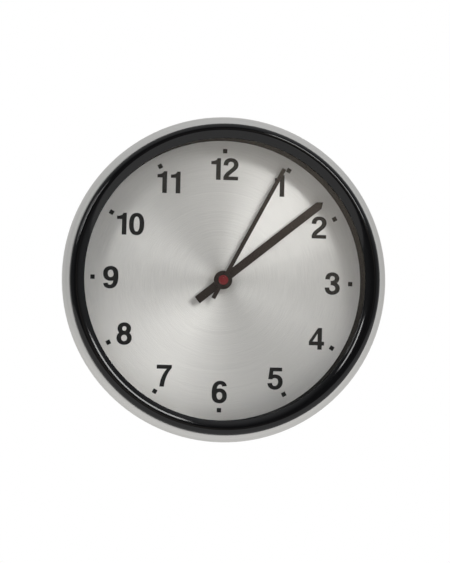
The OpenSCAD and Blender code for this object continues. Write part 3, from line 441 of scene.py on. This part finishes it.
for node, look in handLooks.items():
    lowest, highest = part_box(node)
    name = node.replace("_hand", "HandBlade")
    standFor(ringSurface(name, handRings(look, handShape, -highest.y / mm, -lowest.y / mm), looped=True), node)

# Disc on the minute hand and the red cap over it, both turned, millimetres
discLook = dict(radius=8.6, hole=1.27, edge=0.5, foot=0.15, rim=0.3)
capLook = dict(radius=4.55, foot=0.2, lip=0.4, shoulder=0.45, rimTop=0.2, groove=0.12, grooveWidth=0.1,
               button=2.8, buttonRound=0.25, crown=0.16, rimSteps=10, crownSteps=12)


# a flat disc: a small quarter circle under its edge and a larger one over it
def discProfile(look, low, high):
    radius, hole, edge, foot, rim = (look[k] for k in ("radius", "hole", "edge", "foot", "rim"))
    return np.concatenate((
        [(hole, low), (radius - rim, low)],
        arcPoints((radius - foot, low + foot), foot, 270, 360, steps=4),
        arcPoints((radius - edge, high - edge), edge, 0, 90, steps=9),
        [(radius - edge - rim, high), (hole, high)]))


# a rim that rises as a quarter of an ellipse to a groove, and inside the groove a button with a low parabola for a top
def capProfile(look, low, high):
    radius, foot, lip, rimTop = (look[k] for k in ("radius", "foot", "lip", "rimTop"))
    button, small, step, top = look["button"], look["buttonRound"], high - look["shoulder"], high - look["crown"]
    rise = np.linspace(0, np.pi / 2, look["rimSteps"])
    rim = np.column_stack((button + rimTop + (radius - button - rimTop) * np.cos(rise),
                           low + lip + (step - low - lip) * np.sin(rise)))
    floor = step - look["groove"]
    inward = np.linspace(1, 0, look["crownSteps"])
    return np.concatenate((
        [(0, low), (radius - foot, low), (radius, low + foot)],
        rim,
        [(button + look["grooveWidth"], floor), (button, floor)],
        arcPoints((button - small, top - small), small, 0, 90, steps=6),
        np.column_stack(((button - small) * inward, top + look["crown"] * (1 - inward ** 2)))[1:]))


turnedLooks = dict(
    minute_disc=("minuteDisc", discProfile, discLook, True),
    seconds_cap=("capRed", capProfile, capLook, False),
)
for node, (name, profile, look, looped) in turnedLooks.items():
    lowest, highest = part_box(node)
    standFor(ringSurface(name, turned(profile(look, -highest.y / mm, -lowest.y / mm)), looped), node)

# AA cell, millimetres from its flat end: a plated can with a stepped positive end, in a shrink sleeve that folds over
# both ends of the can
cellLook = dict(radius=7.25, length=49.2, can=7, canRound=0.4, canEnd=0.3, flat=4.1, flatRound=0.25, ledge=0.5,
                nub=1.2, nubRadius=2.6, nubRound=0.4, nubSteps=((1, -0.3), (0.75, 0), (0.25, 0), (0, 0.2)),
                sleeveEnd=0.05, sleeveIn=1.3, wall=0.2, fold=0.7, foldInside=0.5)


# flat end, side and stepped end as straight lines joined by quarter circles; nubSteps are out from the nub and up from
# the can's end
def canProfile(look):
    length, can, side, end = look["length"], look["can"], look["canRound"], look["canEnd"]
    flat, flatRound, ledge = look["flat"], look["flatRound"], look["ledge"]
    nub, nubRound, tip = look["nubRadius"], look["nubRound"], look["length"] + look["nub"]
    return np.concatenate((
        [(0, 0), (flat, 0)],
        arcPoints((flat, flatRound), flatRound, 270, 360, steps=4),
        [(flat + ledge, end), (can - ledge, end)],
        arcPoints((can - side, end + side), side, 270, 360, steps=5),
        arcPoints((can - side, length - (end + side)), side, 0, 90, steps=5),
        np.array(look["nubSteps"]) + (nub, length),
        arcPoints((nub - nubRound, tip - nubRound), nubRound, 0, 90, steps=6),
        [(0, tip)]))


# The sleeve's other end: the same points at the mirrored height, in reverse order
def mirrored(points, length):
    return np.column_stack((points[:, 0], length - points[:, 1]))[::-1]


# out along one end, round its fold, up the side and the same back at the other end, then back inside it all
def sleeveProfile(look):
    length, fold, start, wall = (look[k] for k in ("length", "fold", "sleeveEnd", "wall"))
    centre, lip = (look["radius"] - fold, start + fold), look["radius"] - look["sleeveIn"]
    outside = arcPoints(centre, fold, 270, 360, steps=7)
    inside = arcPoints(centre, look["foldInside"], 270, 360, steps=7)
    return np.concatenate((
        [(lip, start)], outside, mirrored(outside, length), [(lip, length - start), (lip, length - wall)],
        mirrored(inside, length)[::-1], inside[::-1], [(lip, wall)]))


lowest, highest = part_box("battery")
cellStart = (lowest.x, 0, 0)
sleeveRings = turned(sleeveProfile(cellLook), lineAt=cellLine) + cellStart
standFor(ringSurface("batterySleeve", sleeveRings, looped=True), "battery")
can = ringSurface("batteryCan", turned(canProfile(cellLook), lineAt=cellLine) + cellStart, looped=False)
can.data.materials.append(materials["crystal_can"])
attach(can, "battery")

# Copies of moulded and pressed nodes with every sharp edge rounded by this many millimetres
softEdges = dict(movement_rear_shell=0.25, movement_front_shell=0.25, setting_knob=0.12, hanger_plate=0.2,
                 hanger_rivets=0.3, dial_screws=0.1, contact_positive=0.08, contact_negative=0.08, hex_nut=0.2,
                 flat_washer=0.12)
softShape = dict(flat=0.5, sharp=30, rounded=40, segments=2, weld=0.002)    # degrees, and the weld in millimetres


def softened(node, width, shape):
    mesh = nodes[node].data.copy()
    mesh.name = node + "Soft"
    if mesh.attributes.get("custom_normal"):
        mesh.attributes.remove(mesh.attributes["custom_normal"])
    work = bmesh.new()
    work.from_mesh(mesh)
    bmesh.ops.remove_doubles(work, verts=work.verts, dist=onePoint)
    bmesh.ops.dissolve_limit(work, angle_limit=math.radians(shape["flat"]), verts=work.verts, edges=work.edges)
    work.to_mesh(mesh)
    work.free()
    made = addPiece(node + "Soft", mesh, sharp=shape["sharp"])
    edges = made.modifiers.new("edges", "BEVEL")
    edges.width, edges.segments = width * mm, shape["segments"]
    edges.limit_method, edges.angle_limit = "ANGLE", math.radians(shape["rounded"])
    edges.harden_normals = True
    weld = made.modifiers.new("weld", "WELD")    # closes the bevel's zero-length edges between small teeth
    weld.merge_threshold = shape["weld"] * mm
    return made


for node, width in softEdges.items():
    standFor(softened(node, width, softShape), node)
print("pieces made")


# Studio: white to the camera, and behind the clock to every ray, so that metal and glass show that background too. In
# front it is dark, so that glass and gloss look deep, with one soft warm glow high on the right for the glass to mirror.
# The glow fades between the two distances of glowReach from its way.
studio = dict(dark="#3F3F41", white="#FFFFFF", glow="#E6D8C6", glowWay=(0.2, -0.968, 0.15), glowReach=(0.03, 0.17))
# shades over the dark in turn, lighter on the right than on the left: axis, where it starts, where it is full, colour
studioShades = dict(
    right=("X", 0.35, 0.8, "#ABADAF"),
    left=("X", -0.35, -0.8, "#828486"),
    above=("Z", 0.5, 0.85, "#DEE0E3"),
    behind=("Y", -0.15, 0.15, "#FFFFFF"),
)


def makeWorld(look, shades):
    world = bpy.data.worlds.new("studio")
    world.use_nodes = True
    tree = world.node_tree
    tree.nodes.clear()
    toward = addNode(tree, "TexCoord").outputs["Generated"]
    way = addNode(tree, "SeparateXYZ", {0: toward})
    around = colour(look["dark"])
    for axis, start, full, shade in shades.values():
        share = addNode(tree, "MapRange", {"Value": way.outputs[axis], "From Min": start, "From Max": full},
                        interpolation_type="SMOOTHSTEP")
        around = addNode(tree, "Mix", {"Factor": share, 6: around, 7: colour(shade)}, data_type="RGBA").outputs[2]
    full, none = look["glowReach"]
    away = addNode(tree, "VectorMath", {0: toward, 1: look["glowWay"]}, operation="DISTANCE").outputs["Value"]
    share = addNode(tree, "MapRange", {"Value": away, "From Min": none, "From Max": full},
                    interpolation_type="SMOOTHSTEP")
    around = addNode(tree, "Mix", {"Factor": share, 6: around, 7: colour(look["glow"])}, data_type="RGBA").outputs[2]
    seen = addNode(tree, "LightPath").outputs["Is Camera Ray"]
    shown = addNode(tree, "Mix", {"Factor": seen, 6: around, 7: colour(look["white"])}, data_type="RGBA").outputs[2]
    lit = addNode(tree, "Background", {"Color": shown, "Strength": 1})
    addNode(tree, "OutputWorld", {"Surface": lit})
    bpy.context.scene.world = world


# Floor disc, metres. As far as shadowReach, whiteShare of it is white of its own and the rest real shading, which keeps
# the shadow; further out the white grows, to all of it at the rim.
floorLook = dict(depth=-0.45, radius=2.6, steps=96, paper="#F4F4F2", white="#FFFFFF", whiteShare=0.86, shadowReach=0.8)


def makeFloor(look):
    turn = np.linspace(0, 2 * np.pi, look["steps"], endpoint=False)
    ring = np.column_stack((np.cos(turn), np.sin(turn), 0 * turn)) * look["radius"]
    ring[:, 2] = look["depth"]
    mesh = bpy.data.meshes.new("floor")
    mesh.from_pydata(ring.tolist(), [], [list(range(look["steps"]))])
    floor = bpy.data.objects.new("floor", mesh)
    bpy.context.scene.collection.objects.link(floor)
    made, tree = newMaterial("paperPaleMatt")    # pale and even, without any shine
    place = addNode(tree, "TexCoord").outputs["Object"]
    away = addNode(tree, "VectorMath", {0: place}, operation="LENGTH").outputs["Value"]
    share = addNode(tree, "MapRange", {"Value": away, "From Min": look["shadowReach"], "From Max": look["radius"],
                                       "To Min": look["whiteShare"], "To Max": 1})
    paper = addNode(tree, "BsdfDiffuse", {"Color": colour(look["paper"])})
    white = addNode(tree, "Emission", {"Color": colour(look["white"]), "Strength": 1})
    mixed = addNode(tree, "MixShader", {0: share, 1: paper, 2: white})
    addNode(tree, "OutputMaterial", {"Surface": mixed})
    mesh.materials.append(made)


# Two soft lamps and a fainter one further left: direction from the clock, distance and size in metres, turn in degrees
# about that direction, power in watts. Each draws a line on the bezel and a pair of fans on the dial.
lamps = dict(
    right=dict(way=(0.42, -0.81, 0.41), distance=1.4, size=(0.62, 0.14), turn=-46, power=4.2),
    left=dict(way=(-0.499, -0.799, 0.337), distance=1.9, size=(0.5, 0.125), turn=56, power=3.3),
    farLeft=dict(way=(-0.739, -0.559, 0.376), distance=1.9, size=(0.6, 0.25), turn=63, power=2.4),
)


def makeLamp(name, look):
    data = bpy.data.lights.new(name, "AREA")
    data.shape, data.energy = "RECTANGLE", look["power"]
    data.size, data.size_y = look["size"]
    made = bpy.data.objects.new(name, data)
    way = Vector(look["way"]).normalized()
    made.location = way * look["distance"]
    made.rotation_mode = "QUATERNION"
    made.rotation_quaternion = way.to_track_quat("Z", "Y") @ Quaternion((0, 0, 1), math.radians(look["turn"]))
    bpy.context.scene.collection.objects.link(made)


makeWorld(studio, studioShades)
makeFloor(floorLook)
for name, look in lamps.items():
    makeLamp(name, look)
bpy.context.scene.view_settings.view_transform = "Standard"
print("studio made")
